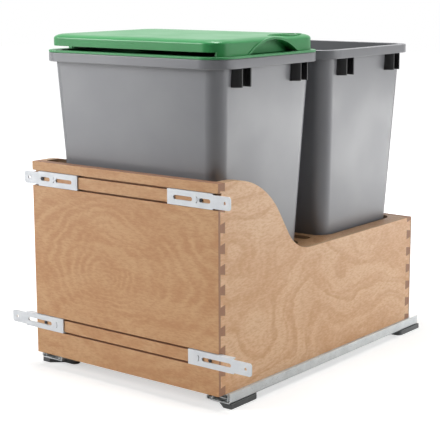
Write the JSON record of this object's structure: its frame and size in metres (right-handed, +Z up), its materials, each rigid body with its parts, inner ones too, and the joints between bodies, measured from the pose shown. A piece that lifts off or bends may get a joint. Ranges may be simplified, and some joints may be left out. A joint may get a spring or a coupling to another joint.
{
  "type": "pull out trash cabinet",
  "caption": "Plywood pull-out box with tapered waste bins, a hinged green lid and door brackets, rolling on full-extension floor slides.",
  "frame": {"origin": "on the cabinet floor, midway between the four floor screws", "axes": "+Z up, -Y is the way the drawer pulls out, +X to the right seen from the front"},
  "size_m": [0.477, 0.5564, 0.5214],
  "materials": {
    "front_ply": "clear satin varnish on birch ply",
    "side_ply": "clear satin varnish on birch ply",
    "inner_ply": "clear satin varnish on birch ply",
    "bin_grey": "fine satin moulded",
    "clip_black": "satin moulded",
    "ring_green": "satin moulded",
    "lid_green": "satin moulded",
    "pin_steel": "bright",
    "zinc_sheet": "white zinc plated",
    "zinc_slide": "zinc plated",
    "cage_plastic": "natural nylon",
    "roller_steel": "ground",
    "bumper_rubber": "matt",
    "foot_grey": "satin moulded",
    "screw_steel": "zinc plated"
  },
  "bodies": {
    "base": {"left_cabinet_member": "zinc_slide", "right_cabinet_member": "zinc_slide", "left_closing_bumper": "bumper_rubber", "right_closing_bumper": "bumper_rubber", "left_front_foot": "foot_grey", "left_rear_foot": "foot_grey", "right_front_foot": "foot_grey", "right_rear_foot": "foot_grey", "foot_rivets": "screw_steel"},
    "drawer": {"front_panel": "front_ply", "left_side": "side_ply", "right_side": "side_ply", "back_panel": "side_ply", "bottom_panel": "inner_ply", "deck_panel": "inner_ply", "left_drawer_member": "zinc_slide", "right_drawer_member": "zinc_slide", "slide_screws": "screw_steel", "bracket_screws": "screw_steel"},
    "front_bin": {"front_bin": "bin_grey", "front_bin_clips": "clip_black"},
    "rear_bin": {"rear_bin": "bin_grey", "rear_bin_clips": "clip_black"},
    "lid_ring": {"lid_ring": "ring_green", "lid_hinge_pins": "pin_steel"},
    "lid": {"lid": "lid_green"},
    "left_intermediate": {"left_intermediate_member": "zinc_slide"},
    "left_lower_cage": {"left_lower_cage": "cage_plastic", "left_lower_rollers": "roller_steel"},
    "left_upper_cage": {"left_upper_cage": "cage_plastic", "left_upper_rollers": "roller_steel"},
    "right_intermediate": {"right_intermediate_member": "zinc_slide"},
    "right_lower_cage": {"right_lower_cage": "cage_plastic", "right_lower_rollers": "roller_steel"},
    "right_upper_cage": {"right_upper_cage": "cage_plastic", "right_upper_rollers": "roller_steel"},
    "upper_left_bracket": {"upper_left_door_bracket": "zinc_sheet"},
    "upper_right_bracket": {"upper_right_door_bracket": "zinc_sheet"},
    "lower_left_bracket": {"lower_left_door_bracket": "zinc_sheet"},
    "lower_right_bracket": {"lower_right_door_bracket": "zinc_sheet"}
  },
  "joints": [
    {"name": "drawer_slide", "type": "slide", "parent": "base", "child": "drawer", "axis": [0, -1, 0], "range_m": [0, 0.51]},
    {"name": "front_bin_lift", "type": "slide", "parent": "drawer", "child": "front_bin", "axis": [0, 0, 1], "range_m": [0, 0.47]},
    {"name": "rear_bin_lift", "type": "slide", "parent": "drawer", "child": "rear_bin", "axis": [0, 0, 1], "range_m": [0, 0.47]},
    {"name": "ring_lift", "type": "slide", "parent": "front_bin", "child": "lid_ring", "axis": [0, 0, 1], "range_m": [0, 0.06]},
    {"name": "lid_hinge", "type": "hinge", "parent": "lid_ring", "child": "lid", "pos_m": [-0.1709, -0.1434, 0.5011], "axis": [0, -1, 0], "range_deg": [0, 100]},
    {"name": "left_intermediate_slide", "type": "slide", "parent": "base", "child": "left_intermediate", "axis": [0, -1, 0], "range_m": [0, 0.255]},
    {"name": "left_lower_cage_slide", "type": "slide", "parent": "base", "child": "left_lower_cage", "axis": [0, -1, 0], "range_m": [0, 0.1275]},
    {"name": "left_upper_cage_slide", "type": "slide", "parent": "base", "child": "left_upper_cage", "axis": [0, -1, 0], "range_m": [0, 0.3825]},
    {"name": "right_intermediate_slide", "type": "slide", "parent": "base", "child": "right_intermediate", "axis": [0, -1, 0], "range_m": [0, 0.255]},
    {"name": "right_lower_cage_slide", "type": "slide", "parent": "base", "child": "right_lower_cage", "axis": [0, -1, 0], "range_m": [0, 0.1275]},
    {"name": "right_upper_cage_slide", "type": "slide", "parent": "base", "child": "right_upper_cage", "axis": [0, -1, 0], "range_m": [0, 0.3825]},
    {"name": "upper_left_bracket_slide", "type": "slide", "parent": "drawer", "child": "upper_left_bracket", "axis": [1, 0, 0], "range_m": [-0.014, 0]},
    {"name": "upper_right_bracket_slide", "type": "slide", "parent": "drawer", "child": "upper_right_bracket", "axis": [1, 0, 0], "range_m": [-0.014, 0]},
    {"name": "lower_left_bracket_slide", "type": "slide", "parent": "drawer", "child": "lower_left_bracket", "axis": [1, 0, 0], "range_m": [-0.011, 0.035]},
    {"name": "lower_right_bracket_slide", "type": "slide", "parent": "drawer", "child": "lower_right_bracket", "axis": [1, 0, 0], "range_m": [-0.035, 0.011]}
  ],
  "couplings": [
    {"joint": "left_intermediate_slide", "follows": "drawer_slide", "ratio": 0.5},
    {"joint": "left_lower_cage_slide", "follows": "drawer_slide", "ratio": 0.25},
    {"joint": "left_upper_cage_slide", "follows": "drawer_slide", "ratio": 0.75},
    {"joint": "right_intermediate_slide", "follows": "drawer_slide", "ratio": 0.5},
    {"joint": "right_lower_cage_slide", "follows": "drawer_slide", "ratio": 0.25},
    {"joint": "right_upper_cage_slide", "follows": "drawer_slide", "ratio": 0.75}
  ]
}
